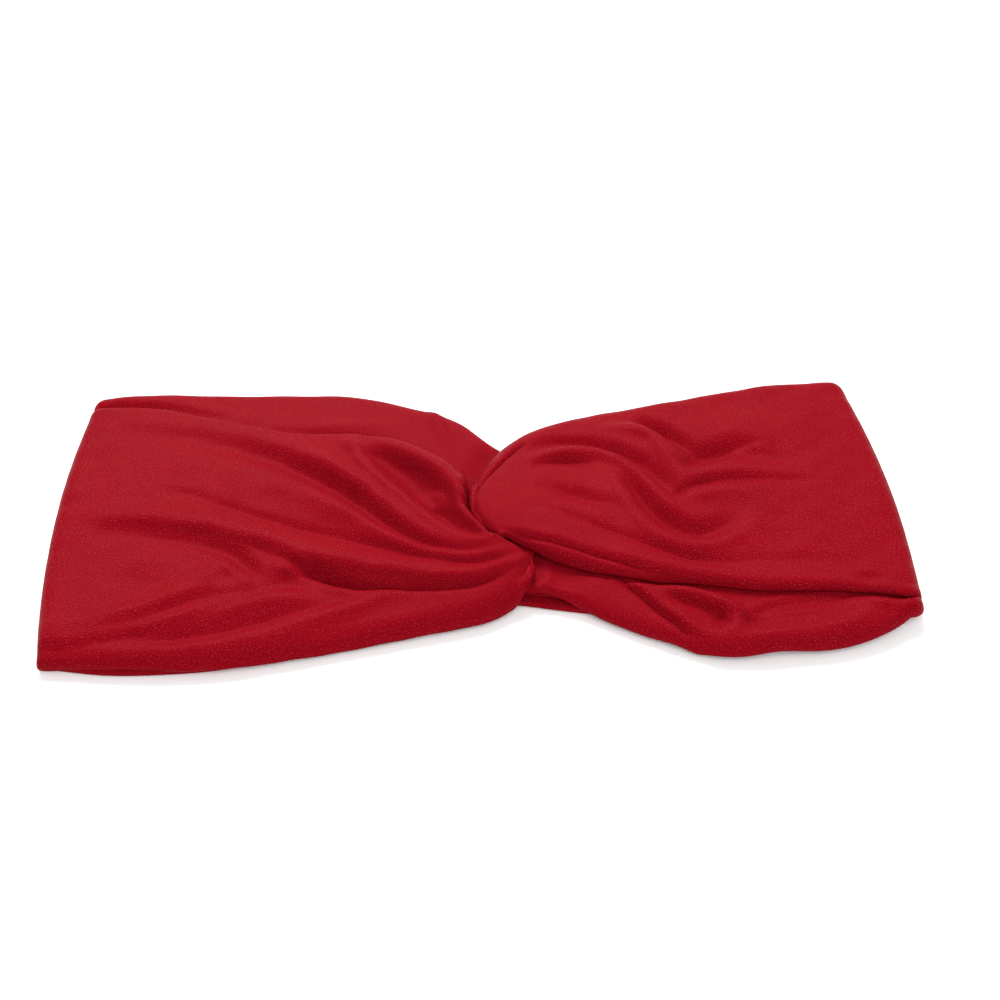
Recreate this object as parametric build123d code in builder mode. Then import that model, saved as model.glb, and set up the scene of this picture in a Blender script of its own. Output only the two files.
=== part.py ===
from build123d import *
import os

# Twist-front headband, lying flat with the twist up.
# Two knit tubes are hooked through each other like two links of a chain. Each tube is
# folded in half, so it has a front strand, a bend at the twist, and a return strand, and
# both strands run round one end fold to the seam at the centre back.
# +X runs along the band to the right, +Y away from the wearer's near edge, +Z up.
# The origin is the middle of the footprint, on the surface that the band lies on.

# ---- driving dimensions, millimetres ----
HALF_SPAN = 122.5  # centre to end fold
HALF_DEPTH = 57.5  # centre to the widest point of either long edge
STRAND = 1.4  # one tube pressed flat: two plies of knit
LAYER_GAP = 0.3  # air between two strands
HEAD_GAP = 4.8  # height of the opening between front and back

TWIST_X = 5.5  # where the two bends hook round each other
TWIST_Y = -8.0
TWIST_BASE = 8.4  # underside of the gathered strands at the twist
TWIST_STEP = 3.2  # thickness of a return strand where it is gathered
TWIST_CLEAR = 0.4  # air between upper and lower strands at the twist
TWIST_TOP = 16.0  # top of the gathered front strands
RISE_START = 68.0  # distance from the twist at which the strands begin to thicken
RISE_END = 22.0
CROSSING = 0.5  # half the air between the two upper strands where they cross
RAMP_RUN = 6.0  # width over which a bend drops from the upper to the lower level

LEFT_BEND = (6.5, 15.5)  # x range of the left loop's bend, right of the twist
RIGHT_BEND = (-3.0, 4.5)  # x range of the right loop's bend, left of the twist

SEAM_HALF_GAP = 0.15  # half the joint line between the two loops at the back
SEAM_RISER = 2.0  # cloth that turns up at the back seam
SEAM_ALLOWANCE = 8.0  # length of the turned allowance
ALLOWANCE_PLY = 1.2  # one loop's ends in the allowance, pressed
SEAM_NEAR = -36.0  # the back is gathered to this width at its seam
SEAM_FAR = 20.0
THREAD_WALL = 0.4  # overlock stitches round the allowance
THREAD_BITE = 3.5  # how far the overlock reaches in from the raw edge

CLOSING_WIDTH = 2.4  # lengthwise seam that closes each tube
CLOSING_DEPTH = 0.6
CLOSING_Y = -7.0
CLOSING_REACH = 12.0  # the seam's distance from the centre at its inner ends

# ---- levels worked out from them ----
OUTER_IN = HEAD_GAP / 2 + STRAND + LAYER_GAP  # inner radius of the outer end fold
OUTER_OUT = OUTER_IN + STRAND
INNER_IN = HEAD_GAP / 2
INNER_OUT = INNER_IN + STRAND
MID_LEVEL = OUTER_OUT  # the end folds' common centre height
LOWER_TOP = TWIST_BASE + TWIST_STEP
UPPER_BASE = LOWER_TOP + TWIST_CLEAR
REAR_TOP = MID_LEVEL - INNER_IN
HIGH = TWIST_TOP + 2  # clear above everything

# ---- plan outlines, seen from above ----
# Each is the far edge from the end to the twist, then the near edge back to the end.
LEFT_FRONT_FAR = [(-HALF_SPAN, 51), (-96, 50), (-62, 35), (-30, 30), (-12, 16)]
LEFT_FRONT_NEAR = [(7, -38), (-21, -46), (-58, -53), (-92, -55), (-HALF_SPAN, -52)]
LEFT_RETURN_FAR = [(-HALF_SPAN, 55), (-104, HALF_DEPTH), (-66, 54), (-34, 50), (-6, 37)]
LEFT_RETURN_NEAR = [(-34, -14), (-74, -32), (-HALF_SPAN, -45)]
RIGHT_FRONT_FAR = [(HALF_SPAN, 49), (84, 46), (44, 39), (16, 29), (4, 19)]
RIGHT_FRONT_NEAR = [(24, -22), (48, -31), (84, -36), (HALF_SPAN, -37)]
RIGHT_RETURN_FAR = [(HALF_SPAN, 40), (84, 28), (40, 6)]
RIGHT_RETURN_NEAR = [(12, -36), (36, -44), (70, -HALF_DEPTH), (100, -55), (HALF_SPAN, -45)]


def band_section(side, reach, out_radius, in_radius, out_twist, in_twist, rear_x):
    """One strand seen from the near edge: rear run, end fold, front run to the twist."""
    fold_x = side * (HALF_SPAN - OUTER_OUT)
    start_x = TWIST_X + side * RISE_START
    end_x = TWIST_X + side * RISE_END
    with BuildSketch(Plane.XZ) as section:
        with BuildLine():
            Line((rear_x, MID_LEVEL - out_radius), (fold_x, MID_LEVEL - out_radius))
            ThreePointArc(
                (fold_x, MID_LEVEL - out_radius),
                (fold_x + side * out_radius, MID_LEVEL),
                (fold_x, MID_LEVEL + out_radius),
            )
            Line((fold_x, MID_LEVEL + out_radius), (start_x, MID_LEVEL + out_radius))
            Spline(
                (start_x, MID_LEVEL + out_radius),
                (end_x, out_twist),
                tangents=((-side, 0), (-side, 0)),
            )
            Polyline((end_x, out_twist), (reach, out_twist), (reach, in_twist), (end_x, in_twist))
            Spline(
                (end_x, in_twist),
                (start_x, MID_LEVEL + in_radius),
                tangents=((side, 0), (side, 0)),
            )
            Line((start_x, MID_LEVEL + in_radius), (fold_x, MID_LEVEL + in_radius))
            ThreePointArc(
                (fold_x, MID_LEVEL + in_radius),
                (fold_x + side * in_radius, MID_LEVEL),
                (fold_x, MID_LEVEL - in_radius),
            )
            Polyline(
                (fold_x, MID_LEVEL - in_radius),
                (rear_x, MID_LEVEL - in_radius),
                (rear_x, MID_LEVEL - out_radius),
            )
        make_face()
    return section.sketch


def plan_prisms(far_edge, near_edge, twist_corners, rear_x):
    """Front plan above the end folds' centre, rear plan below it."""
    end_far = far_edge[0] if abs(far_edge[0][0]) == HALF_SPAN else far_edge[-1]
    end_near = near_edge[-1]
    with BuildPart() as prisms:
        with BuildSketch(Plane.XY.offset(MID_LEVEL)):
            with BuildLine():
                Spline(*far_edge)
                Polyline(far_edge[-1], *twist_corners, near_edge[0])
                Spline(*near_edge)
                Line(near_edge[-1], far_edge[0])
            make_face()
        extrude(amount=HIGH)
        with BuildSketch(Plane.XY):
            with BuildLine():
                Polyline(
                    end_far,
                    (rear_x, SEAM_FAR),
                    (rear_x, SEAM_NEAR),
                    end_near,
                    end_far,
                )
            make_face()
        extrude(amount=MID_LEVEL)
    return prisms.part


def strand(side, reach, radii, twist_levels, plan):
    """The section carried across the band and trimmed to its plan."""
    rear_x = side * SEAM_HALF_GAP
    envelope = plan_prisms(*plan, rear_x)
    with BuildPart() as piece:
        section = band_section(side, reach, *radii, *twist_levels, rear_x)
        extrude(section, amount=HALF_DEPTH, both=True)
        add(envelope, mode=Mode.INTERSECT)
    return piece.part


def closing_strip(side, reach, in_radius, in_twist):
    """The lengthwise seam, let into the face of a strand that faces the head."""
    with BuildPart() as strip:
        section = band_section(
            side,
            reach,
            in_radius + CLOSING_DEPTH,
            in_radius,
            in_twist + CLOSING_DEPTH,
            in_twist,
            side * CLOSING_REACH,
        )
        extrude(section, amount=HALF_DEPTH, both=True)
        with BuildSketch(Plane.XY.offset(-HIGH)):
            with Locations((0, CLOSING_Y)):
                Rectangle(4 * HALF_SPAN, CLOSING_WIDTH)
        extrude(amount=3 * HIGH, mode=Mode.INTERSECT)
    return strip.part


def bend(x_range, front_side):
    """The bend at the twist: it drops from the upper level to the lower one."""
    ramp_top = TWIST_Y + front_side * RAMP_RUN
    upper_end = TWIST_Y + front_side * 20
    lower_end = TWIST_Y - front_side * 20
    with BuildPart() as ramp:
        with BuildSketch(Plane.YZ.offset(x_range[0])):
            with BuildLine():
                Polyline(
                    (upper_end, TWIST_TOP),
                    (ramp_top, TWIST_TOP),
                    (TWIST_Y, LOWER_TOP),
                    (lower_end, LOWER_TOP),
                    (lower_end, TWIST_BASE),
                    (TWIST_Y, TWIST_BASE),
                    (ramp_top, UPPER_BASE),
                    (upper_end, UPPER_BASE),
                    (upper_end, TWIST_TOP),
                )
            make_face()
        extrude(amount=x_range[1] - x_range[0])
    return ramp.part


def allowance(side, flap_base):
    """The loop's rear ends, turned up at the back seam and laid over to the right."""
    riser_x = sorted((side * SEAM_HALF_GAP, side * SEAM_RISER))
    flap_top = flap_base + ALLOWANCE_PLY
    with BuildPart() as turned:
        with BuildSketch(Plane.XZ.offset(-SEAM_FAR)):
            with BuildLine():
                Polyline(
                    (riser_x[0], 0),
                    (riser_x[1], 0),
                    (riser_x[1], flap_base),
                    (SEAM_ALLOWANCE, flap_base),
                    (SEAM_ALLOWANCE, flap_top),
                    (riser_x[0], flap_top),
                    (riser_x[0], 0),
                )
            make_face()
        extrude(amount=SEAM_FAR - SEAM_NEAR)
    return turned.part


# The upper strands part at the crossing line, the lower ones a ramp's width further on.
UPPER_NEAR_SIDE = TWIST_Y - CROSSING
UPPER_FAR_SIDE = TWIST_Y + CROSSING
SPLIT_X = (RIGHT_BEND[1] + LEFT_BEND[0]) / 2
LEFT_REACH = LEFT_BEND[1]
RIGHT_REACH = RIGHT_BEND[0]

OUTER_RADII = (OUTER_OUT, OUTER_IN)
INNER_RADII = (INNER_OUT, INNER_IN)
UPPER_LEVELS = (TWIST_TOP, UPPER_BASE)
LOWER_LEVELS = (LOWER_TOP, TWIST_BASE)

RIGHT_FLAP_BASE = REAR_TOP + THREAD_WALL + 0.1
LEFT_FLAP_BASE = RIGHT_FLAP_BASE + ALLOWANCE_PLY + 0.2

left_front_corners = [
    (RIGHT_BEND[0] - CROSSING, UPPER_NEAR_SIDE),
    (SPLIT_X, UPPER_NEAR_SIDE),
    (SPLIT_X, TWIST_Y - RAMP_RUN),
    (LEFT_REACH, TWIST_Y - RAMP_RUN),
    (LEFT_REACH, -30),
]
left_return_corners = [
    (8, 24),
    (LEFT_REACH, 18),
    (LEFT_REACH, TWIST_Y),
    (SPLIT_X, TWIST_Y),
    (SPLIT_X, TWIST_Y + RAMP_RUN + CROSSING),
    (RIGHT_BEND[0], TWIST_Y + RAMP_RUN + CROSSING),
]
right_front_corners = [
    (RIGHT_REACH, 6),
    (RIGHT_REACH, TWIST_Y + RAMP_RUN),
    (SPLIT_X, TWIST_Y + RAMP_RUN),
    (SPLIT_X, UPPER_FAR_SIDE),
    (LEFT_REACH + CROSSING, UPPER_FAR_SIDE),
]
right_return_corners = [
    (LEFT_REACH, TWIST_Y - RAMP_RUN - CROSSING),
    (SPLIT_X, TWIST_Y - RAMP_RUN - CROSSING),
    (SPLIT_X, TWIST_Y),
    (RIGHT_REACH, TWIST_Y),
    (RIGHT_REACH, -34),
]

left_front = strand(
    -1,
    LEFT_REACH,
    OUTER_RADII,
    UPPER_LEVELS,
    (LEFT_FRONT_FAR, LEFT_FRONT_NEAR, left_front_corners),
)
left_return = strand(
    -1,
    LEFT_REACH,
    INNER_RADII,
    LOWER_LEVELS,
    (LEFT_RETURN_FAR, LEFT_RETURN_NEAR, left_return_corners),
)
right_front = strand(
    1,
    RIGHT_REACH,
    OUTER_RADII,
    UPPER_LEVELS,
    (RIGHT_FRONT_FAR, RIGHT_FRONT_NEAR, right_front_corners),
)
right_return = strand(
    1,
    RIGHT_REACH,
    INNER_RADII,
    LOWER_LEVELS,
    (RIGHT_RETURN_FAR, RIGHT_RETURN_NEAR, right_return_corners),
)

left_strips = [
    closing_strip(-1, -CLOSING_REACH, INNER_IN, TWIST_BASE),
    closing_strip(-1, -CLOSING_REACH, OUTER_IN, UPPER_BASE),
]
right_strips = [
    closing_strip(1, RISE_END, INNER_IN, TWIST_BASE),
    closing_strip(1, RISE_END, OUTER_IN, UPPER_BASE),
]

# ---- the two tubes ----
with BuildPart() as left_loop:
    add(left_front)
    add(left_return)
    add(bend(LEFT_BEND, -1))
    add(allowance(-1, LEFT_FLAP_BASE))
    add(left_strips, mode=Mode.SUBTRACT)
left_loop.part.label = "left_loop"

with BuildPart() as right_loop:
    add(right_front)
    add(right_return)
    add(bend(RIGHT_BEND, 1))
    add(allowance(1, RIGHT_FLAP_BASE))
    add(right_strips, mode=Mode.SUBTRACT)
right_loop.part.label = "right_loop"

# ---- the seams' threads ----
with BuildPart() as left_tube_seam:
    add(left_strips)
left_tube_seam.part.label = "left_tube_seam"

with BuildPart() as right_tube_seam:
    add(right_strips)
right_tube_seam.part.label = "right_tube_seam"

bundle_base = RIGHT_FLAP_BASE
bundle_top = LEFT_FLAP_BASE + ALLOWANCE_PLY
with BuildPart() as back_seam_thread:
    with BuildSketch(Plane.XZ.offset(-SEAM_FAR)):
        with BuildLine():
            Polyline(
                (SEAM_ALLOWANCE - THREAD_BITE, bundle_base),
                (SEAM_ALLOWANCE - THREAD_BITE, bundle_base - THREAD_WALL),
                (SEAM_ALLOWANCE + THREAD_WALL, bundle_base - THREAD_WALL),
                (SEAM_ALLOWANCE + THREAD_WALL, bundle_top + THREAD_WALL),
                (SEAM_ALLOWANCE - THREAD_BITE, bundle_top + THREAD_WALL),
                (SEAM_ALLOWANCE - THREAD_BITE, bundle_top),
                (SEAM_ALLOWANCE, bundle_top),
                (SEAM_ALLOWANCE, bundle_base),
                (SEAM_ALLOWANCE - THREAD_BITE, bundle_base),
            )
        make_face()
    extrude(amount=SEAM_FAR - SEAM_NEAR)
back_seam_thread.part.label = "back_seam_thread"

os.makedirs("parts", exist_ok=True)
for piece in (left_loop, right_loop, left_tube_seam, right_tube_seam, back_seam_thread):
    export_step(piece.part, f"parts/{piece.part.label}.step")
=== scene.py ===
import math

import bpy
import numpy as np
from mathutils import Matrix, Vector


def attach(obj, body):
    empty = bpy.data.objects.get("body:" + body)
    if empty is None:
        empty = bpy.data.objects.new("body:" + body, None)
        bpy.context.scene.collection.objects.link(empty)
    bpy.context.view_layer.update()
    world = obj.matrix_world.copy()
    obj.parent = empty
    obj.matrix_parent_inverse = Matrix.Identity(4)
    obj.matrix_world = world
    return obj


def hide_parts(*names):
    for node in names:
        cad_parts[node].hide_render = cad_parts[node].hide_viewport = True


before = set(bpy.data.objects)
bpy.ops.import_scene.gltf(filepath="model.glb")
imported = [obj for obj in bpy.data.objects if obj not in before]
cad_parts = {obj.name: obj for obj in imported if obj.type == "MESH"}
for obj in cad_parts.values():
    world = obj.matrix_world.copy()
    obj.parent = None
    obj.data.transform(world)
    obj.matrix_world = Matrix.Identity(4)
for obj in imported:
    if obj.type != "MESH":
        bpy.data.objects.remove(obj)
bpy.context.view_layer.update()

MM = 0.001

# ---- the tubes' make-up, millimetres ----
PLY_HALF = 0.75  # half the thickness of one tube pressed flat
SEWN_HALF = 0.15  # and where its ends are sewn down
EDGE_PUFF = 0.45  # extra half thickness where the knit turns round a tube's outer edge
INNER_PUFF = 0.2  # and round its inner edge
EDGE_REACH = 4.0  # how far that puff reaches in from the edge
OUTER_ROLL = 4.6  # width over which an outer edge rolls down, and an inner one
INNER_ROLL = 1.6
INNER_ROLL_MORE = 0.9  # and this much more for each millimetre that it rolls down
WIDEST_ROLL = 0.45  # the most of a strand's width that one edge's roll takes
LAYER_AIR = 0.2  # least air between one strand and the next
FLOOR = 0.05  # the lowest that any cloth lies

# ---- the ends, where both strands fold back under, millimetres ----
END_X = 118.0  # where the end folds begin
OUTER_FOLD = 4.4  # how far the outer and inner end folds stand out past that
INNER_FOLD = 2.2
CORNER_FOLD = 2.0  # how much further the inner fold stands out where nothing covers it
CORNER_WIDTH = 6.0
BOW = 0.0011  # the end folds bow out: x is less by this times the square of y from BOW_Y
BOW_Y = {-1: -8.0, 1: -1.0}  # where the left and the right end stand out most
BOW_POWER = 8  # how fast the bow fades towards the twist

# ---- unevenness of the cloth, millimetres ----
RIPPLE_COUNT = 9  # waves summed in the small unevenness, and their lengths
RIPPLE_LENGTHS = (7.0, 26.0)
RIPPLE_HEIGHT = 0.12
SOFT_RIPPLE_HEIGHT = 0.1  # on the return that lies mostly under cover
GATHER = 0.22  # height of each wave at the centre-back seam, their lengths and their reach
GATHER_LENGTHS = (3.9, 5.3)
GATHER_REACH = 9.0
LEAN_FALL = 1.1  # how much faster a leaning fold's push fades than its height

# ---- fineness of the surfaces ----
TOP_COLUMNS = 156  # grid columns over the outer ply
THINNING = 6  # outer columns to each inner one
CAP_POINTS = 5  # points round each tube edge
ROW_STEP = 0.7  # spacing in millimetres of grid rows along the front strands
HIDDEN_STEP = 3.0  # and along the strands that the front covers
FOLD_STEP = 1.5  # and of the points along a fold's line
FOLD_ROWS = 14  # rows round each end fold
FOLD_REACH = 4  # widths from its line past which a fold is flat
CELL = 0.8  # spacing in millimetres of the height maps that keep the strands apart
MAP_LOW = np.array([-136.0, -76.0])  # their corner, and how many cells they have each way
MAP_SIZE = (340, 190)
SPREAD_STEPS = 3  # grid steps that a lift spreads, and how often it is smoothed
SMOOTH_PASSES = 4

# ---- sewing thread, millimetres ----
THREAD_HALF = 0.14
STITCH_LENGTH = 2.6  # one lengthwise stitch and the gap after it
STITCH_ARCH = 0.1
STITCH_TAPER = 0.08  # share of a stitch's length over which its radius stays at its least
STITCH_RINGS = 5
STITCH_SIDES = 6
SEAM_MARGIN = 3.0
STITCH_PITCH = 2.0  # spacing of the stitches over the centre-back seam
BACK_REACH = 1.5  # how far each reaches to both sides of it
BACK_SEAM_Y = (-31, 17.5)  # from the near to the far end of that seam
BACK_OUTER_Z = 0.75  # the faces of the cloth beside it
BACK_INNER_Z = 3.3

# ---- the knit's pattern, millimetres on the cloth's own map ----
RIB, ROW, GRAIN_SIZE, CLOUD = 0.5, 0.62, 0.35, 24.0  # spacing of ribs, rows, the fine grain (and so of the painted glints) and slow shades
WANDER_SCALE = 0.35  # noise that bends the ribs and rows, and how far it shifts them
WANDER = 1.4
RIB_SHADE, ROW_SHADE = 0.13, 0.06
GRAIN_SHADE, CLOUD_SHADE = 0.95, 0.22
# where the fine grain is brightest, a paler pink is painted into the colour as glints of light: where
# that starts, how fast it rises and the most that is mixed in
GLINT_START, GLINT_GAIN, GLINT_SHARE = 0.6, 8.0, 0.5
RIB_RELIEF, ROW_RELIEF, GRAIN_RELIEF = 0.5, 0.3, 1.6

# ---- colours, light and camera ----
RED_BODY = (0.19, 0.0015, 0.0060, 1)
RED_THREAD = (0.15, 0.0018, 0.006, 1)
# the paler pink of the painted glints of light
PAINTED_GLINT_RED = (0.46, 0.05, 0.066, 1)
FLOOR_WHITE = (0.97, 0.97, 0.97, 1)
FLOOR_HALF = 1.5  # metres from the middle to each side
WORLD_LIGHT = 0.57
LAMPS = (  # name, place in metres, watts, side of the square
    ("key", (-0.1, 0.75, 0.8), 17.2, 0.55),
    ("fill", (0.15, -0.8, 0.9), 10.5, 1.0),
)
CAMERA_TARGET = (0, 0.0035, 0.008)
CAMERA_DISTANCE = 0.46928
CAMERA_ELEVATION = math.radians(42.35)
CAMERA_AZIMUTH = math.radians(-3.42)
CAMERA_LENS, CAMERA_SENSOR = 57.6, 36
CAMERA_SHIFT = (0.02319, -0.00411)

# ---- stations of each strand ----
# Each row is one line across the strand: the outer edge's x and y, the inner edge's x and y,
# then the heights near the outer edge, in the middle and near the inner edge, and how far
# each edge rolls down. The outer edge is the one that runs round the outside of the bend.
LEFT_REAR = [
    (-0.4, -33, -0.4, 19, 1.2, 1.2, 1.2, 0, 0),
    (-10, -35, -10, 21, 1.2, 1.2, 1.2, 0, 0),
    (-30, -42, -30, 30, 1.2, 1.2, 1.2, 0, 0),
    (-56, -48.6, -56, 41, 1.2, 1.2, 1.2, 0, 0),
    (-70, -52.2, -70, 44, 1.2, 1.2, 1.2, 0, 0),
    (-88, -53.3, -88, 48, 1.2, 1.2, 1.2, 0, 0),
    (-104, -52.6, -104, 50, 1.2, 1.2, 1.2, 0, 0),
    (-118, -50.2, -118, 51, 1.2, 1.2, 1.2, 0, 0),
]
LEFT_FRONT = [
    (-118.6, -51.0, -118, 51, 4.6, 6.9, 7.2, 1.8, 0.4),
    (-98, -53.0, -98, 48.6, 5.0, 7.7, 8.0, 1.9, 0.4),
    (-74, -54.0, -71, 38.6, 5.0, 8.1, 8.6, 2.6, 0.4),
    (-52, -51.0, -50, 32.4, 5.2, 8.4, 9.0, 3.0, 0.4),
    (-34, -47.7, -34, 30.5, 5.4, 8.8, 10.2, 3.2, 1.0),
    (-19, -44.7, -19, 24.5, 5.7, 9.4, 11.2, 3.4, 1.8),
    (-8, -42.6, -8.7, 15, 6.0, 10.0, 11.8, 3.6, 2.4),
    (0, -40.6, -3.2, 5, 6.2, 10.5, 12.2, 3.8, 2.8),
    (5.5, -37.8, -1.4, -4.5, 6.6, 11.0, 12.4, 4.0, 2.8),
    (9.8, -34.4, 0.6, -12, 6.8, 11.0, 12.2, 3.8, 2.4),
    (12.2, -31.2, 3.8, -15.8, 7.0, 10.6, 11.4, 3.0, 1.8),
    (13.2, -27.6, 7.2, -17.8, 7.6, 9.8, 10.4, 2.6, 1.4),
    (12.9, -23.8, 9.2, -18.0, 7.8, 9.0, 9.4, 2.2, 1.2),
]
LEFT_BEND = [
    (15, -17, 9.6, -14.6, 7.6, 8.4, 8.8, 2.0, 1.0),
    (18.4, -8, 10, -9.4, 7.2, 8.0, 8.2, 1.8, 1.0),
    (20.5, 2, 8, -5.5, 6.9, 7.4, 7.6, 1.6, 1.0),
    (18.5, 12, 4, -1, 6.8, 7.0, 7.2, 1.6, 1.0),
    (14, 19, -1, 2, 6.8, 6.7, 6.8, 1.6, 1.0),
    (9, 24, -6.5, 2.5, 7.0, 6.5, 6.3, 1.6, 1.0),
]
LEFT_RETURN = [
    (3.5, 29, -12, 1, 7.3, 6.4, 6.0, 1.6, 1.0),
    (-3.3, 37, -18, -2, 7.4, 6.4, 5.6, 1.5, 1.0),
    (-11, 42.3, -26, -6, 7.3, 6.6, 5.4, 1.4, 1.0),
    (-18.7, 46, -34, -10, 7.1, 7.0, 5.2, 1.3, 1.0),
    (-26.5, 49.6, -42, -15, 6.9, 7.4, 5.0, 1.2, 1.0),
    (-37.5, 53, -52, -21, 6.7, 7.6, 5.0, 1.2, 1.0),
    (-51, 54.4, -64, -28, 6.6, 7.4, 5.0, 1.2, 1.0),
    (-67, 55.2, -77, -34, 6.6, 7.2, 5.0, 1.3, 1.0),
    (-83, 56.2, -90, -39, 6.8, 7.2, 5.0, 1.4, 1.0),
    (-98, 57.5, -103, -42, 7.0, 7.0, 5.0, 1.5, 0.8),
    (-111, 57.2, -113, -43.5, 7.0, 6.6, 5.0, 1.4, 0.6),
    (-118, 57.0, -118, -44, 6.6, 6.2, 5.0, 1.2, 0.6),
]
LEFT_REAR_INNER = [
    (-118, 53, -118, -44, 2.9, 2.9, 2.9, 0, 0),
    (-88, 50, -88, -44, 2.9, 2.9, 2.9, 0, 0),
    (-58, 43, -58, -42, 2.9, 2.9, 2.9, 0, 0),
    (-30, 32, -30, -38, 2.9, 2.9, 2.9, 0, 0),
    (-10, 22, -10, -34, 2.9, 2.9, 2.9, 0, 0),
    (-0.4, 18, -0.4, -32, 2.9, 2.9, 2.9, 0, 0),
]
RIGHT_REAR = [
    (0.4, 19, 0.4, -33, 1.2, 1.2, 1.2, 0, 0),
    (10, 20, 10, -34, 1.2, 1.2, 1.2, 0, 0),
    (20, 24.5, 20, -36.2, 1.2, 1.2, 1.2, 0, 0),
    (32, 29, 32, -39, 1.2, 1.2, 1.2, 0, 0),
    (58, 38, 58, -46, 1.2, 1.2, 1.2, 0, 0),
    (88, 45, 88, -45, 1.2, 1.2, 1.2, 0, 0),
    (118, 46.5, 118, -41.5, 1.2, 1.2, 1.2, 0, 0),
]
RIGHT_FRONT = [
    (118, 50.8, 118, -42.2, 7.2, 7.6, 6.4, 1.2, 0.4),
    (108, 50.2, 108, -40.2, 7.7, 8.2, 6.8, 1.2, 0.5),
    (95, 49.3, 97, -39, 8.0, 8.8, 7.3, 1.4, 0.9),
    (76, 45.6, 74, -37.2, 8.2, 9.2, 7.8, 1.6, 1.2),
    (61, 42.4, 59, -34.2, 8.4, 9.6, 8.5, 1.8, 1.6),
    (47, 39.5, 46.5, -32, 8.6, 10.2, 9.3, 1.9, 2.4),
    (35, 36.5, 36, -29.6, 8.9, 10.7, 10.0, 2.1, 3.0),
    (25, 33.2, 27.5, -26.8, 9.3, 11.2, 10.5, 2.3, 3.1),
    (17, 29, 21.5, -24.2, 9.6, 11.7, 10.9, 2.5, 3.2),
    (10.5, 23.6, 16.5, -21.2, 9.9, 12.0, 11.2, 2.8, 3.0),
    (5, 16.8, 12.8, -18.8, 10.2, 12.2, 11.5, 3.2, 2.6),
    (1.2, 9, 10, -17.2, 10.4, 12.2, 11.7, 3.4, 2.2),
    (-1.3, 1, 7.8, -16.4, 10.6, 12.1, 11.9, 3.4, 1.8),
    (-0.8, -6, 6.2, -16.2, 10.4, 11.6, 11.6, 3.2, 1.5),
]
RIGHT_BEND = [
    (1.2, -11.8, 6.0, -17, 9.6, 10.2, 10.4, 2.4, 1.0),
    (3.0, -17, 7.5, -19.5, 7.8, 8.2, 8.4, 1.4, 0.8),
    (4.8, -22.5, 12, -18.5, 5.2, 5.6, 6.2, 1.2, 0.6),
    (7.5, -28, 18, -17.5, 4.6, 5.2, 6.2, 1.2, 0.6),
]
RIGHT_RETURN = [
    (12, -31.8, 26, -15.5, 4.2, 5.2, 6.0, 1.4, 0.6),
    (19.5, -33.9, 35, -12.5, 4.3, 5.8, 6.2, 1.6, 0.6),
    (26, -37.3, 43, -9, 4.7, 7.0, 6.6, 2.0, 0.6),
    (33, -42, 51, -5, 4.8, 6.9, 6.2, 2.2, 0.6),
    (41.5, -47.3, 59, -1, 5.0, 6.4, 5.6, 2.4, 0.6),
    (50, -51.8, 67, 5, 5.2, 6.2, 5.2, 2.6, 0.6),
    (58.5, -56.2, 75, 11, 5.1, 5.8, 5.0, 2.4, 0.6),
    (67, -57.8, 83, 17, 5.2, 5.6, 5.0, 2.5, 0.6),
    (80, -57.2, 94, 24, 5.3, 5.5, 5.0, 2.5, 0.6),
    (93.5, -56.8, 104, 31, 5.4, 5.4, 5.0, 2.5, 0.6),
    (103, -54.9, 111, 36, 5.8, 5.4, 5.0, 2.5, 0.6),
    (111, -51.9, 115, 38, 6.2, 5.4, 5.0, 2.3, 0.6),
    (118, -48.0, 118, 38.5, 6.0, 5.2, 5.0, 2.0, 0.6),
]
RIGHT_REAR_INNER = [
    (118, -43, 118, 38, 2.9, 2.9, 2.9, 0, 0),
    (88, -45, 88, 36, 2.9, 2.9, 2.9, 0, 0),
    (58, -43, 58, 32, 2.9, 2.9, 2.9, 0, 0),
    (32, -36, 32, 27, 2.9, 2.9, 2.9, 0, 0),
    (10, -31, 10, 22, 2.9, 2.9, 2.9, 0, 0),
    (0.4, -30, 0.4, 18, 2.9, 2.9, 2.9, 0, 0),
]

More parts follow.
